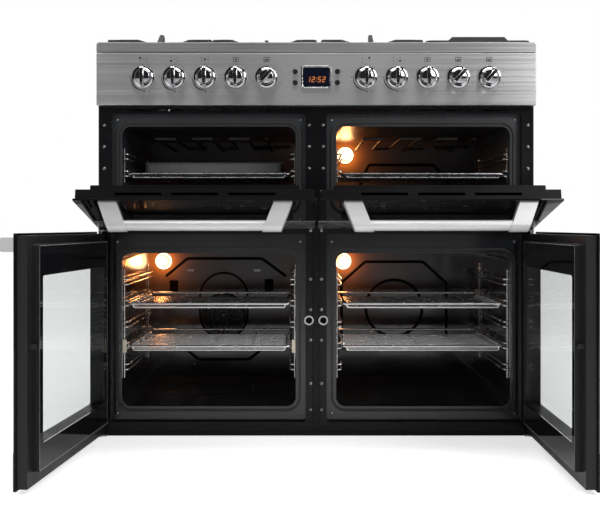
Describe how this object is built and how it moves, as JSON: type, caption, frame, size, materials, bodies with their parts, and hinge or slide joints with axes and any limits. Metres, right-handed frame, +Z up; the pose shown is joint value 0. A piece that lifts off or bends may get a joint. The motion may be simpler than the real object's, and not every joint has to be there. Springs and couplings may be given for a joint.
{
  "type": "dual fuel range cooker",
  "caption": "Freestanding dual fuel range cooker with side-hung lower oven doors, drop-down upper doors, a steel control panel and a hob with gas burners and a griddle",
  "frame": {"origin": "centre of the floor footprint, on the floor", "axes": "X to the right seen from the front, Y to the back, Z up"},
  "size_m": [1.1709, 1.0947, 0.938],
  "materials": {
    "black_enamel": "gloss",
    "zinc_steel": "satin",
    "brushed_steel": "brushed",
    "seal_rubber": "matte",
    "display_black": "gloss",
    "control_metal": "satin",
    "stem_brass": "satin",
    "knob_chrome": "polished",
    "burner_alloy": "satin",
    "cap_enamel": "satin",
    "cast_iron": "matte",
    "hob_glass": "gloss",
    "wire_chrome": "polished",
    "fan_steel": "satin",
    "lamp_glass": "clear",
    "hinge_steel": "satin",
    "door_black": "satin",
    "door_glass": "gloss",
    "handle_steel": "satin"
  },
  "bodies": {
    "cooker": {"base_frame": "black_enamel", "side_panels": "black_enamel", "front_frame": "black_enamel", "lower_ovens": "black_enamel", "upper_ovens": "black_enamel", "fan_guard": "black_enamel", "back_panel": "zinc_steel", "control_panel": "brushed_steel", "hob_top": "brushed_steel", "door_seals": "seal_rubber", "display": "display_black", "control_gear": "control_metal", "burner_bodies": "burner_alloy", "burner_caps": "cap_enamel", "pan_supports": "cast_iron", "griddle_plate": "cast_iron", "hotplate_glass": "hob_glass", "shelf_runners": "wire_chrome", "grill_element": "fan_steel", "oven_lamps": "lamp_glass", "door_hardware": "hinge_steel"},
    "button_1": {"button_1": "display_black"},
    "button_2": {"button_2": "display_black"},
    "button_3": {"button_3": "display_black"},
    "button_4": {"button_4": "display_black"},
    "tap_stem_1": {"tap_stem_1": "stem_brass"},
    "tap_stem_2": {"tap_stem_2": "stem_brass"},
    "tap_stem_3": {"tap_stem_3": "stem_brass"},
    "tap_stem_6": {"tap_stem_6": "stem_brass"},
    "tap_stem_7": {"tap_stem_7": "stem_brass"},
    "knob_1": {"knob_1": "knob_chrome"},
    "knob_2": {"knob_2": "knob_chrome"},
    "knob_3": {"knob_3": "knob_chrome"},
    "knob_4": {"knob_4": "knob_chrome"},
    "knob_5": {"knob_5": "knob_chrome"},
    "knob_6": {"knob_6": "knob_chrome"},
    "knob_7": {"knob_7": "knob_chrome"},
    "knob_8": {"knob_8": "knob_chrome"},
    "knob_9": {"knob_9": "knob_chrome"},
    "knob_10": {"knob_10": "knob_chrome"},
    "fan": {"fan": "fan_steel"},
    "shelf_left_high": {"shelf_left_high": "wire_chrome"},
    "shelf_left_low": {"shelf_left_low": "wire_chrome"},
    "shelf_right_high": {"shelf_right_high": "wire_chrome"},
    "shelf_right_low": {"shelf_right_low": "wire_chrome"},
    "shelf_upper_right": {"shelf_upper_right": "wire_chrome"},
    "shelf_upper_left": {"shelf_upper_left": "wire_chrome", "grill_pan": "black_enamel"},
    "lower_left_door": {"lower_left_door_frame": "door_black", "lower_left_door_glass": "door_glass", "lower_left_door_handle": "handle_steel"},
    "lower_right_door": {"lower_right_door_frame": "door_black", "lower_right_door_glass": "door_glass", "lower_right_door_handle": "handle_steel"},
    "upper_left_door": {"upper_left_door_frame": "door_black", "upper_left_door_glass": "door_glass", "upper_left_door_handle": "handle_steel"},
    "upper_right_door": {"upper_right_door_frame": "door_black", "upper_right_door_glass": "door_glass", "upper_right_door_handle": "handle_steel"}
  },
  "joints": [
    {"name": "lower_left_door_hinge", "type": "hinge", "parent": "cooker", "child": "lower_left_door", "pos_m": [-0.492, -0.289, 0.237], "axis": [0, 0, -1], "range_deg": [-95, 10]},
    {"name": "lower_right_door_hinge", "type": "hinge", "parent": "cooker", "child": "lower_right_door", "pos_m": [0.492, -0.289, 0.237], "axis": [0, 0, 1], "range_deg": [-89, 16]},
    {"name": "upper_left_door_hinge", "type": "hinge", "parent": "cooker", "child": "upper_left_door", "pos_m": [-0.25125, -0.289, 0.494], "axis": [1, 0, 0], "range_deg": [-77.5, 0]},
    {"name": "upper_right_door_hinge", "type": "hinge", "parent": "cooker", "child": "upper_right_door", "pos_m": [0.25125, -0.289, 0.494], "axis": [1, 0, 0], "range_deg": [-77.5, 0]},
    {"name": "tap_1_push", "type": "slide", "parent": "cooker", "child": "tap_stem_1", "axis": [0, 1, 0], "range_m": [0, 0.003], "stiffness_N_per_m": 300},
    {"name": "knob_1_turn", "type": "hinge", "parent": "tap_stem_1", "child": "knob_1", "pos_m": [-0.393, -0.304, 0.82], "axis": [0, -1, 0], "range_deg": [0, 210]},
    {"name": "tap_2_push", "type": "slide", "parent": "cooker", "child": "tap_stem_2", "axis": [0, 1, 0], "range_m": [0, 0.003], "stiffness_N_per_m": 300},
    {"name": "knob_2_turn", "type": "hinge", "parent": "tap_stem_2", "child": "knob_2", "pos_m": [-0.323, -0.304, 0.82], "axis": [0, -1, 0], "range_deg": [0, 210]},
    {"name": "tap_3_push", "type": "slide", "parent": "cooker", "child": "tap_stem_3", "axis": [0, 1, 0], "range_m": [0, 0.003], "stiffness_N_per_m": 300},
    {"name": "knob_3_turn", "type": "hinge", "parent": "tap_stem_3", "child": "knob_3", "pos_m": [-0.253, -0.304, 0.82], "axis": [0, -1, 0], "range_deg": [0, 210]},
    {"name": "knob_4_turn", "type": "hinge", "parent": "cooker", "child": "knob_4", "pos_m": [-0.183, -0.304, 0.82], "axis": [0, 1, 0], "range_deg": [0, 300]},
    {"name": "knob_5_turn", "type": "hinge", "parent": "cooker", "child": "knob_5", "pos_m": [-0.113, -0.304, 0.82], "axis": [0, 1, 0], "range_deg": [-42, 258]},
    {"name": "tap_6_push", "type": "slide", "parent": "cooker", "child": "tap_stem_6", "axis": [0, 1, 0], "range_m": [0, 0.003], "stiffness_N_per_m": 300},
    {"name": "knob_6_turn", "type": "hinge", "parent": "tap_stem_6", "child": "knob_6", "pos_m": [0.113, -0.304, 0.82], "axis": [0, -1, 0], "range_deg": [0, 210]},
    {"name": "tap_7_push", "type": "slide", "parent": "cooker", "child": "tap_stem_7", "axis": [0, 1, 0], "range_m": [0, 0.003], "stiffness_N_per_m": 300},
    {"name": "knob_7_turn", "type": "hinge", "parent": "tap_stem_7", "child": "knob_7", "pos_m": [0.183, -0.304, 0.82], "axis": [0, -1, 0], "range_deg": [0, 210]},
    {"name": "knob_8_turn", "type": "hinge", "parent": "cooker", "child": "knob_8", "pos_m": [0.253, -0.304, 0.82], "axis": [0, 1, 0], "range_deg": [0, 300]},
    {"name": "knob_9_turn", "type": "hinge", "parent": "cooker", "child": "knob_9", "pos_m": [0.323, -0.304, 0.82], "axis": [0, 1, 0], "range_deg": [-42, 258]},
    {"name": "knob_10_turn", "type": "hinge", "parent": "cooker", "child": "knob_10", "pos_m": [0.393, -0.304, 0.82], "axis": [0, 1, 0], "range_deg": [-42, 258]},
    {"name": "button_1_press", "type": "slide", "parent": "cooker", "child": "button_1", "axis": [0, 1, 0], "range_m": [0, 0.0015], "stiffness_N_per_m": 200},
    {"name": "button_2_press", "type": "slide", "parent": "cooker", "child": "button_2", "axis": [0, 1, 0], "range_m": [0, 0.0015], "stiffness_N_per_m": 200},
    {"name": "button_3_press", "type": "slide", "parent": "cooker", "child": "button_3", "axis": [0, 1, 0], "range_m": [0, 0.0015], "stiffness_N_per_m": 200},
    {"name": "button_4_press", "type": "slide", "parent": "cooker", "child": "button_4", "axis": [0, 1, 0], "range_m": [0, 0.0015], "stiffness_N_per_m": 200},
    {"name": "fan_spin", "type": "hinge", "parent": "cooker", "child": "fan", "pos_m": [-0.248, 0.175, 0.236], "axis": [0, 1, 0], "continuous": true},
    {"name": "shelf_left_high_slide", "type": "slide", "parent": "cooker", "child": "shelf_left_high", "axis": [0, -1, 0], "range_m": [0, 0.3]},
    {"name": "shelf_left_low_slide", "type": "slide", "parent": "cooker", "child": "shelf_left_low", "axis": [0, -1, 0], "range_m": [0, 0.3]},
    {"name": "shelf_right_high_slide", "type": "slide", "parent": "cooker", "child": "shelf_right_high", "axis": [0, -1, 0], "range_m": [0, 0.3]},
    {"name": "shelf_right_low_slide", "type": "slide", "parent": "cooker", "child": "shelf_right_low", "axis": [0, -1, 0], "range_m": [0, 0.3]},
    {"name": "shelf_upper_left_slide", "type": "slide", "parent": "cooker", "child": "shelf_upper_left", "axis": [0, -1, 0], "range_m": [0, 0.3]},
    {"name": "shelf_upper_right_slide", "type": "slide", "parent": "cooker", "child": "shelf_upper_right", "axis": [0, -1, 0], "range_m": [0, 0.3]}
  ]
}
